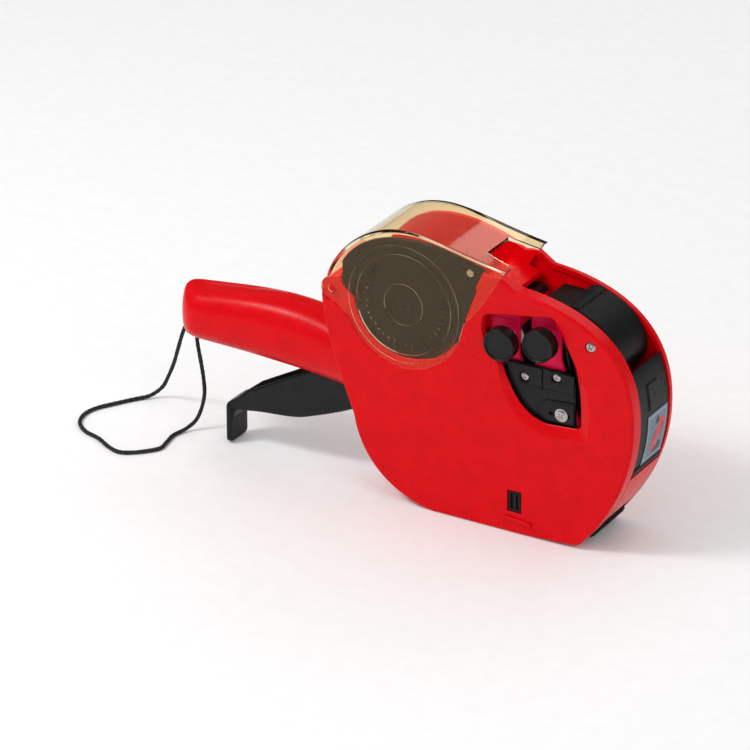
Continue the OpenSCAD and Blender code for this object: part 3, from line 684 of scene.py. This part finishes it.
# ---- label cover: clear band and sides round the roll
def cover():
    obj = prism("cover", COVER, -COVER_OUT, COVER_OUT, AMBER, 0.9, None, 4)
    inner = inward(cover_top, COVER_T, False)
    hollow = tidy([(-77, 100), *inner, (18, 120.5), (18, 60), (-80, 60)])
    carve(obj, [prism("hollow", hollow, -COVER_OUT + COVER_T, COVER_OUT - COVER_T, AMBER, 0.7, None, 3)])
    boss, within = circle(COVER_PIN, 5.4), COVER_OUT - COVER_T
    bosses = [prism("boss", boss, -COVER_OUT, -within, AMBER, 0.5, 0, 3),
              prism("boss", boss, within, COVER_OUT, AMBER, 0, 0.5, 3)]
    carve(obj, bosses, "UNION", False)
    notch = [(-1, -9.5), (-1, 9.5), (4, 10.6), (20, 13.5), (20, -13.5), (4, -10.6)]
    rings = [[(x, y, z) for x, y in notch] for z in (115, 135)]
    carve(obj, [skin("notch", rings, AMBER)])
    carve(obj, [prism("bore", circle(COVER_PIN, 1.56, 24), -COVER_OUT - 1, COVER_OUT + 1, AMBER)])
    raised = []
    for side in (-1, 1):
        for r, w in ((27.5, 0.55), (23.5, 0.45), (9.6, 0.5)):
            y = COVER_OUT
            raised.append(lathe("ring", [(r - w, y - 0.2), (r - w * 0.5, y + 0.24), (r, y + 0.3),
                                         (r + w * 0.5, y + 0.24), (r + w, y - 0.2)], ROLL_C, AMBER, 96, side))
    carve(obj, raised, "UNION", False)
    ticks = []
    for side in (-1, 1):
        for i in range(40):
            a = 360 * (i + 0.5) / 40
            if 60 < a < 120:
                continue
            c, s = math.cos(math.radians(a)), math.sin(math.radians(a))
            mid = (ROLL_C[0] + 20.2 * c, ROLL_C[1] + 20.2 * s)
            long = 1.7 if i % 4 else 2.4
            quad = [(mid[0] + u * c * long - v * s * 0.35, mid[1] + u * s * long + v * c * 0.35)
                    for u, v in CORNERS]
            ys = sorted((side * (COVER_OUT - 0.2), side * (COVER_OUT + 0.22)))
            ticks.append(prism("tick", quad, *ys, AMBER))
    carve(obj, ticks, "UNION", False)
    return obj


clear = cover()
clear.name = "label_cover_clear"
soften(clear, 0)
finish_piece(clear, "cover", "amber_clear", "label_cover")


# ---- cross-head screws
def phillips(name, c, face, into, r, h, turn=20.0):
    """A pan head whose top is at y = face; it grows towards into (1 or -1), with a cross recess."""
    shares = ((0, 0), (0.55, 0.05), (0.82, 0.2), (1, 0.55), (1, 1), (0.45, 1), (0.45, 2.4), (0, 2.4))
    profile = [(r * out, face + into * h * depth) for out, depth in shares]
    head = lathe("head", profile, c, STEEL, 40)
    arms = []
    for a in (turn, turn + 90):
        u = Vector((math.cos(math.radians(a)), math.sin(math.radians(a))))
        v = Vector((-u.y, u.x))
        ring = []
        for depth, long, wide in ((-0.1, 0.62, 0.17), (0.7, 0.3, 0.10)):
            quad = [Vector(c) + r * (long * p * u + wide * q * v) for p, q in CORNERS]
            ring.append([(q.x, face + into * h * depth, q.y) for q in quad])
        arms.append(skin("arm", ring, STEEL))
    carve(head, arms)
    head.name = name
    return soften(head, 0, 35)


for i, c in enumerate(SIDE_SCREWS):
    out = (GRIP_W if c[0] < -80 else HALF_W) - 2
    piece = phillips(f"shell_screw_{i + 1}", c, out, -1, 2.3, 1.2, 15 + 31 * i)
    finish_piece(piece, "casing", "steel", *(("shell_screws",) if i == 0 else ()))
finish_piece(phillips("rim_screw", RIM_SCREW, -HALF_W + 0.1, 1, 2.3, 0.8, 28), "casing", "steel")
finish_piece(phillips("roll_plate_screw_head", (-4.5, 118.6), -PANEL_OUT - 0.25, 1, 1.7, 0.4, 55),
             "casing", "steel", "roll_plate_screw")
finish_piece(phillips("adjust_screw_head", ADJUST_C, -16.5, 1, 2.3, 0.5, 35), "head", "steel", "adjust_screw")
washer = lathe("adjust_washer", [(0.95, -16.05), (2.9, -16.05), (3.1, -15.95), (3.1, -15.8), (0.95, -15.8)],
               ADJUST_C, STEEL, 40)
finish_piece(soften(washer, 0, 35), "head", "steel")
for i, c in enumerate(PLATE_SCREWS):
    piece = phillips(f"band_plate_screw_{i + 1}", c, -15.5, 1, 1.75, 0.6, 40 + 25 * i)
    finish_piece(piece, "head", "steel", *(("head_plate_screws",) if i == 0 else ()))

# ---- roll side plate and hubs
plate = prism("roll_side_plate_moulded", plate_pts(0), -PANEL_OUT + 0.3, -PANEL_IN, BLACK, 0.35, 0.2, 3)
lift = [(-20, 124), (0, 118.4), (-2, 113), (-26, 121.5)]
carve(plate, [prism("lift", lift, -PANEL_OUT, -PANEL_OUT + 0.5, BLACK, 0.2, 0, 2)], "UNION")
carve(plate, [prism("bore", circle(ROLL_C, 4.06, 40), -HALF_W, 0, BLACK),
              prism("bore", circle((-4.5, 118.6), 1.3, 24), -HALF_W, -PANEL_IN + 0.5, BLACK),
              lathe("dish", [(5.2, -18.5), (5.2, -16.75), (9.0, -16.75), (9.2, -18.5)], ROLL_C, BLACK, 64),
              lathe("groove", [(24.6, -18.5), (24.8, -16.8), (25.2, -16.8), (25.4, -18.5)], ROLL_C,
                    BLACK, 96)])
finish_piece(soften(plate, 0), "casing", "black_plastic", "roll_side_plate")


def hub(side):
    """Core holder: a flanged drum with three notches and a boss that turns in its plate."""
    y0, y1 = 11.4, PANEL_IN - 0.2
    end = PANEL_OUT - 0.4 if side < 0 else PANEL_IN + 1.8
    profile = [(0, y0), (8.9, y0), (9.5, y0 + 0.6), (9.5, y1 - 0.3), (9.2, y1), (4.0, y1), (4.0, end - 0.3),
               (3.7, end), (1.6, end), (1.2, end - 0.5), (0, end - 0.5)]
    obj = lathe("hub", profile, ROLL_C, BLACK, 64, side)
    notches = []
    for a in (90, 210, 330):
        c = (ROLL_C[0] + 9.2 * math.cos(math.radians(a)), ROLL_C[1] + 9.2 * math.sin(math.radians(a)))
        notches.append(prism("notch", circle(c, 1.6, 20), *sorted((side * 11, side * 13)), BLACK))
    return soften(carve(obj, notches, "DIFFERENCE", False), 0, 35)


for side, word in ((-1, "right"), (1, "left")):
    obj = hub(side)
    obj.name = f"{word}_roll_hub_turned"
    finish_piece(obj, f"{word}_hub", "black_plastic", f"{word}_roll_hub")


# ---- trigger
def trigger():
    lever = prism("lever", LEVER_TOP + smooth(LEVER_LOW), -6.75, 6.75, BLACK, 1.1, None, 6)
    carve(lever, [prism("bearing", circle(PIVOT, 6, 48), -6.75, 6.75, BLACK, 0.5, None, 2)], "UNION")
    outline = []
    for corner, a0 in (((5.2, 18.2), 90), ((5.2, 2.8), 0), ((-5.2, 2.8), -90), ((-5.2, 18.2), -180)):
        outline += arc(corner, 2.1, a0, a0 - 90, 4)
    rings = []
    for x, d in ((-136, 0.7), (-135.85, 0.25), (-135.5, 0), (-133.9, 0), (-133.55, 0.25), (-133.4, 0.7)):
        rings.append([(x, y, z) for y, z in inward(outline, d)])
    foot = skin("foot", rings, BLACK)
    corner = [(-134.5, 12.5), (-134.5, 19.8), (-131.5, 21), (-129.5, 18.3), (-131.9, 16.6), (-133.2, 12.5)]
    web = prism("web", corner, -6.2, 6.2, BLACK, 0.4, None, 2)
    carve(lever, [foot, web], "UNION")
    channel = [(-130.6, 40), (-130.6, 20.6), (-128, 20.4), (-117, 21.5), (-101.5, 23.1), (-91.5, 26),
               (-71, 34.6), (-54, 45), (-51, 49), (-52, 75)]
    carve(lever, [prism("channel", channel, -5.1, 5.1, BLACK, 0.6, None, 2),
                  prism("bore", circle(PIVOT, 3.06, 40), -9, 9, BLACK)])
    cross = []
    for x, z in ((-112, 21.2), (-92, 25.2), (-74, 32.8)):
        rib = [(x, z), (x, z + 5.5), (x + 1.1, z + 6), (x + 1.1, z)]
        cross.append(prism("rib", rib, -5.3, 5.3, BLACK, 0.2, None, 2))
    carve(lever, cross, "UNION")
    return soften(lever, 0.22, 40)


obj = trigger()
obj.name = "trigger_moulded"
finish_piece(obj, "trigger", "black_plastic", "trigger_lever")

SPRING_TURNS, SPRING_R, WIRE = 4.2, 4.4, 0.6
centre = Vector((PIVOT[0], 0, PIVOT[1]))
rings = []
for i in range(int(SPRING_TURNS * 40) + 1):
    a = 2 * math.pi * i / 40
    y = 7.55 + WIRE + 1.05 * i / 40
    radial = Vector((math.cos(a), 0, math.sin(a)))
    mid = centre + radial * SPRING_R + Vector((0, y, 0))
    rings.append([mid + WIRE * (math.cos(b) * radial + math.sin(b) * Vector((0, 1, 0)))
                  for b in (2 * math.pi * j / 12 for j in range(12))])
spring = soften(skin("trigger_spring_coil", rings, STEEL), 0)
finish_piece(spring, "casing", "steel", "trigger_spring")

# ---- print head
hood = prism("hood", HOOD + backwards(inward(HOOD, 1.8, False)), -11, 15.2, SATIN, 0.7, None, 3)
flanges = []
for y in (-11, 13.7):
    side = tidy(inward(HOOD, 1.0, False) + [(46, 74.5), (46, 84), (43.6, 100)])
    flanges.append(prism("flange", side, y, y + 1.5, SATIN, 0.3, None, 2))
lip = [(36.9, 108.7), (37.6, 110.3), (40.6, 111.2), (44.2, 110.4), (44.4, 108.6), (41, 107.6)]
flanges.append(prism("lip", lip, -10.4, 14.6, SATIN, 0.5, None, 3))
carve(hood, flanges, "UNION")
hood.name = "hood_moulded"
soften(hood, 0.15, 40)
finish_piece(hood, "head", "black_satin", "head_cover")

REAR_CASE = ([(27.5, 41.5), (3, 84), (3, 103)] + arc((6.4, 103.4), 3.4, 180, 100, 7)
             + arc((14.2, 103.6), 3.2, 80, 0, 7) + [(17.4, 84), (34, 44)])
FRONT_CASE = ([(39.5, 44.2), (23, 86), (23, 105)] + arc((26.4, 105.4), 3.4, 180, 100, 7)
              + arc((34.8, 105.4), 3.2, 80, 0, 7) + [(38, 86), (50.5, 47)])


def belt(p, r, q, s, n=20):
    """Outline of a belt round two wheels, run clockwise."""
    d = math.dist(p, q)
    a = math.degrees(math.atan2(q[1] - p[1], q[0] - p[0]))
    f = math.degrees(math.acos((r - s) / d))
    return (arc(p, r, a + f, a + 360 - f, n) + arc(q, s, a - f, a + f, n))[::-1]


for word, outline, c, p in (("rear", REAR_CASE, KNOBS[0], PRINT_LINE[0]),
                            ("front", FRONT_CASE, KNOBS[1], PRINT_LINE[1])):
    case = prism("case", outline, -13.3, 13.3, MAGENTA, 0.8, None, 3)
    carve(case, [prism("inside", belt(c, 6.3, p, 4.1), -11.7, 11.7, MAGENTA),
                 prism("inside", circle((p[0], p[1] - 4), 4), -11.7, 11.7, MAGENTA),
                 prism("bore", circle(c, 2.56, 32), -14, 12.3, MAGENTA)])
    left = outline[2][0]
    ledge = box2(left + 1.2, 99, left + 12.5, 101.5)
    carve(case, [prism("step", ledge, -13.8, -12.7, MAGENTA), prism("step", ledge, 12.7, 13.8, MAGENTA)])
    # The case tops get the black material: painted shade on the tops of the magenta case.
    case.data.materials.append(BLACK)
    for f in case.data.polygons:
        if f.center.z > 0.0995 and abs(f.normal.y) < 0.6 and abs(f.center.y) < 0.0128:
            f.material_index = len(case.data.materials) - 1
    case.name = f"{word}_band_case_moulded"
    finish_piece(soften(case, 0.2), "head", "magenta_plastic", f"{word}_band_case")

PLATE_OUT = 15.0
SEAM = {"rear": [(18, 70.4), (13, 80.6), (29.9, 80.6), (29.9, 70.4)],
        "front": box2(30.5, 70.4, 45.6, 80.6)}
for (word, outline), c in zip(SEAM.items(), PLATE_SCREWS):
    obj = prism("plate", outline, -PLATE_OUT - 0.7, -PLATE_OUT, BLACK, 0.3, 0, 3)
    sink = [(r, y - PLATE_OUT)
            for r, y in ((0, -1), (3.1, -1), (3.1, -0.69), (2.6, -0.3), (2.6, 0.5), (0, 0.5))]
    carve(obj, [lathe("sink", sink, c, BLACK, 40),
                prism("line", box2(10, 71.6, 50, 72.1), -PLATE_OUT - 1, -PLATE_OUT - 0.55, BLACK)])
    obj.name = f"{word}_band_plate_moulded"
    finish_piece(soften(obj, 0, 35), "head", "black_plastic", f"{word}_band_plate")

bracket = tidy(arc((33.5, 62.6), 4, 180, 90, 10) + [(45.7, 67.6), (45.7, 57)]
               + arc((33.5, 61), 4, 270, 180, 10))
obj = prism("bracket", bracket, -PLATE_OUT - 0.8, -PLATE_OUT, BLACK, 0.25, 0, 3)
carve(obj, [prism("slot", tidy(arc((34.6, 61), 1, 270, 90, 10) + arc((43, 61), 1, 90, -90, 10)),
                  -PLATE_OUT - 1.2, -PLATE_OUT + 0.5, BLACK),
            prism("line", box2(35, 66.2, 45, 66.6), -PLATE_OUT - 1.2, -PLATE_OUT - 0.6, BLACK)])
obj.name = "adjust_bracket_moulded"
finish_piece(soften(obj, 0, 35), "head", "black_plastic", "adjust_bracket")

for word, c in zip(("rear", "front"), KNOBS):
    r, y = 7.5, -19.6
    profile = [(0, y), (7.1, y), (r, y - 0.4), (r, y - 5.1), (r - 0.1, y - 5.45), (r - 0.3, y - 5.7),
               (r - 0.6, y - 5.8), (r - 0.85, y - 5.74), (r - 1.1, y - 5.3), (r - 1.5, y - 5.15),
               (0, y - 5.25)]
    obj = lathe("knob", profile, c, BLACK, 96)
    obj.name = f"{word}_knob_turned"
    finish_piece(soften(obj, 0, 50), f"{word}_dial", "black_plastic", f"{word}_knob")


# ---- ink cover, its tab and its sticker
def ink_cover():
    y0, y1 = NEAR_RIM + 0.4, FAR_RIM - 0.4
    outline = [(70.2, 86.2), *INK_CURVE, *backwards(inward(INK_CURVE, 1.8, False)), (69.8, 84.4)]
    obj = prism("ink", outline, y0, y1, SATIN, 0.5, None, 3)
    neck = [(69.2, 38.6), (70.6, 42.5), (72.3, 42.5), (71.2, 38.6)]
    carve(obj, [prism("knuckle", circle(INK_PIN, 1.9, 32), y0, y1, SATIN, 0.3, None, 2),
                prism("neck", neck, y0 + 0.3, y1 - 0.3, SATIN)], "UNION")
    raised = tidy(inward(INK_CURVE, -0.58, False) + backwards(inward(INK_CURVE, 0.4, False)))
    tab = prism("tab", raised, -2.6, 6.2, SATIN, 0.3, None, 3)
    carve(tab, [cuboid("keep", (60, -20, 66), (80, 20, 78), SATIN)], "INTERSECT")
    carve(obj, [tab], "UNION")
    grooves = [cuboid("groove", (70, y, z0), (80, y + 0.8, 79), SATIN) for y, z0 in ((-3.9, 64.5), (6.9, 66))]
    near_skin = tidy(inward(INK_CURVE, -2, False) + backwards(inward(INK_CURVE, 0.55, False)))
    keep = prism("skin", near_skin, -20, 20, SATIN)
    carve(keep, grooves, "INTERSECT")
    carve(obj, [keep, prism("bore", circle(INK_PIN, 1.26, 24), y0 - 1, y1 + 1, SATIN)])
    return soften(obj, 0.15, 40)


obj = ink_cover()
obj.name = "ink_cover_moulded"
finish_piece(obj, "ink_unit", "black_satin", "ink_cover")

STICKER_Y, STICKER_Z = (-4.3, 14.7), (40.0, 64.0)


def sticker_x(z, lift):
    """Place of the ink cover's skin at height z, moved out by lift."""
    pts = inward(INK_CURVE, -lift, False)
    return along_curve([(q[1], q[0]) for q in pts], z)


def sticker_patch(name, outline, lift, mat, cuts=16):
    """A thin printed area; its outline is in (y, z), laid on the curved cover."""
    bm = bmesh.new()
    face = bm.faces.new([bm.verts.new((0, y, z)) for y, z in outline])
    bmesh.ops.triangulate(bm, faces=[face])
    lo, hi = (f(p[1] for p in outline) for f in (min, max))
    for i in range(1, cuts):
        z = lo + (hi - lo) * i / cuts
        geom = bm.verts[:] + bm.edges[:] + bm.faces[:]
        bmesh.ops.bisect_plane(bm, geom=geom, plane_co=(0, 0, z), plane_no=(0, 0, 1))
    top = bmesh.ops.extrude_face_region(bm, geom=bm.faces[:])
    raised = {v for v in top["geom"] if isinstance(v, bmesh.types.BMVert)}
    for v in bm.verts:
        y, z = v.co.y, v.co.z
        v.co = Vector((sticker_x(z, lift if v in raised else 0.01), y, z)) * MM
    return from_bmesh(name, bm, mat)


def frame_of(lo, hi, w):
    """Four bars round a rectangle, as outlines."""
    (y0, z0), (y1, z1) = lo, hi
    return [[(y0, z0), (y1, z0), (y1, z0 + w), (y0, z0 + w)],
            [(y0, z1 - w), (y1, z1 - w), (y1, z1), (y0, z1)],
            [(y0, z0 + w), (y0 + w, z0 + w), (y0 + w, z1 - w), (y0, z1 - w)],
            [(y1 - w, z0 + w), (y1, z0 + w), (y1, z1 - w), (y1 - w, z1 - w)]]


(sy0, sy1), (sz0, sz1) = STICKER_Y, STICKER_Z
parts = [sticker_patch("face", [(sy0, sz0), (sy1, sz0), (sy1, sz1), (sy0, sz1)], 0.17, FACE)]
for bar in frame_of((sy0, sz0), (sy1, sz1), 0.5):
    parts.append(sticker_patch("edge", bar, 0.19, INKED))
for bar in frame_of((sy0 + 1.3, sz0 + 1.4), (sy1 - 1.3, sz1 - 1.4), 0.45):
    parts.append(sticker_patch("line", bar, 0.20, LINE))
ARROW = [(1.6, 45.0), (5.0, 44.4), (6.2, 49.4), (8.6, 50.2), (10.2, 55.2), (12.6, 57.0), (8.0, 60.2),
         (6.6, 56.2), (4.6, 54.4), (4.2, 50.6), (1.8, 49.6)]
PEAK = [(3.4, 57.2), (7.4, 57.6), (5.2, 61.8)]
FOOT = [(4.6, 42.4), (11.6, 42.8), (11.6, 46.2), (8.6, 47.6), (7.6, 45.6), (4.6, 45.2)]
parts.append(sticker_patch("arrow", ARROW, 0.22, SIGNAL))
parts.append(sticker_patch("peak", PEAK, 0.21, INKED))
parts.append(sticker_patch("base", FOOT, 0.21, INKED))
obj = merged("ink_sticker_printed", parts)
finish_piece(soften(obj, 0, 50), "ink_unit", "sticker_print", "ink_sticker")

# ---- applicator roller and latches
RIBS = 22
outline = []
for i in range(RIBS):
    for da, r in ((-0.24, ROLLER_R - 0.75), (-0.16, ROLLER_R - 0.1), (-0.08, ROLLER_R), (0.08, ROLLER_R),
                  (0.16, ROLLER_R - 0.1), (0.24, ROLLER_R - 0.75)):
        a = -2 * math.pi * (i + da) / RIBS
        outline.append((ROLLER_C[0] + r * math.cos(a), ROLLER_C[1] + r * math.sin(a)))
obj = prism("roller", outline, NEAR_RIM + 0.5, FAR_RIM - 0.5, RUBBER)
carve(obj, [prism("bore", circle(ROLLER_C, 1.56, 32), -20, 20, RUBBER)])
obj.name = "applicator_roller_ribbed"
finish_piece(soften(obj, 0, 35), "label_roller", "rubber", "applicator_roller")

for side, word in ((-1, "right"), (1, "left")):
    lo = (LATCH_LO[0] + 0.3, LATCH_LO[1] + 0.3)
    hi = (LATCH_HI[0] - 0.3, LATCH_HI[1] - 0.3)
    r_out = (0.5, 0) if side < 0 else (0, 0.5)
    obj = prism("latch", box2(*lo, *hi), *sorted((side * (HALF_W - 0.5), side * 16.2)), BLACK, *r_out, 3)
    ys = sorted((side * 15.9, side * 16.6))
    carve(obj, [prism("leaf", box2(lo[0] - 2, 5.5, hi[0] + 2, 22.5), *ys, BLACK, 0.2, None, 2)], "UNION")
    ys = sorted((side * (HALF_W - 1.5), side * HALF_W))
    dips = [prism("dip", box2(x, 11.6, x + 1.5, 19), *ys, BLACK) for x in (17.0, 19.7)]
    carve(obj, dips, "DIFFERENCE", False)
    obj.name = f"{word}_latch_moulded"
    finish_piece(soften(obj, 0.12), f"{word}_catch", "black_plastic", f"{word}_latch")

# ---- carried-over CAD nodes: welded, with small rounded edges
FINISH = {
    "cover_hinge_pins": RED, "roll_cradle": RED, "label_guide": RED, "inner_frame": BLACK, "platen": BLACK,
    "main_shaft": STEEL, "head_frame": BLACK, "rear_type_bands": RUBBER, "front_type_bands": RUBBER,
    "rear_band_wheels": WHITE, "front_band_wheels": WHITE, "rear_selector_shaft": STEEL,
    "front_selector_shaft": STEEL, "rear_selector_sleeve": WHITE, "front_selector_sleeve": WHITE,
    "ink_cover_pin": STEEL, "ink_roller": FOAM, "ink_roller_core": WHITE, "roller_axle": STEEL,
    "feed_wheel": RUBBER, "ratchet_wheel": WHITE, "feed_axle": STEEL, "feed_pawl": WHITE, "pawl_pin": STEEL,
    "base_cover": BLACK, "base_cover_pin": STEEL,
}
for name, mat in FINISH.items():
    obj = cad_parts[name]
    obj.data.materials.clear()
    obj.data.materials.append(mat)
    soften(obj, 0.2 if "bands" not in name and "wheel" not in name else 0.08, 35, 2, True)

# ---- floor, light and world
floor = bpy.data.objects.new("floor", bpy.data.meshes.new("floor"))
floor.data.from_pydata([(-4, -4, 0), (4, -4, 0), (4, 4, 0), (-4, 4, 0)], [], [(0, 1, 2, 3)])
bpy.context.scene.collection.objects.link(floor)
PALE = plastic("floor_pale", (0.88, 0.88, 0.88), (0.90, 0.90, 0.90), 0.9, 0.1, 0.0)
floor.data.materials.append(PALE)

world = bpy.data.worlds.new("World")
bpy.context.scene.world = world
world.use_nodes = True
wt = world.node_tree
sky = wt.nodes["Background"]
sky.inputs["Color"].default_value = (1, 1, 1, 1)
sky.inputs["Strength"].default_value = 0.74
dim = put(wt, "ShaderNodeBackground", in_Color=(1, 1, 1, 1), in_Strength=0.09)
ray = put(wt, "ShaderNodeLightPath")
both = put(wt, "ShaderNodeMixShader")
mirrored_only = put(wt, "ShaderNodeMath", operation="SUBTRACT", use_clamp=True)
wire(wt, ray, "Is Glossy Ray", mirrored_only, 0)
wire(wt, ray, "Is Transmission Ray", mirrored_only, 1)
wire(wt, mirrored_only, "Value", both, 0)
wire(wt, sky, "Background", both, 1)
wire(wt, dim, "Background", both, 2)
wire(wt, both, "Shader", wt.nodes["World Output"], "Surface")


def lamp(name, place, target, size, power):
    data = bpy.data.lights.new(name, "AREA")
    data.shape = "RECTANGLE"
    data.size, data.size_y = size
    data.energy = power
    obj = bpy.data.objects.new(name, data)
    bpy.context.scene.collection.objects.link(obj)
    obj.location = place
    obj.rotation_mode = "QUATERNION"
    obj.rotation_quaternion = (Vector(target) - Vector(place)).to_track_quat("-Z", "Y")
    return obj


lamp("key", (-0.55, -0.75, 1.05), (-0.03, 0, 0.06), (0.6, 0.45), 1.3)
lamp("side", (1.0, -0.45, 0.7), (0, 0, 0.06), (0.45, 0.6), 1.5)
lamp("rim", (0.1, 1.0, 0.9), (0, 0, 0.08), (0.9, 0.3), 1.3)
lamp("softbox", (-0.64, -0.56, 0.97), (-0.09, 0, 0.07), (0.3, 0.22), 5.4)

view = bpy.context.scene.view_settings
view.view_transform = "Standard"
view.look = "None"
view.exposure = 0.0

bpy.context.view_layer.update()
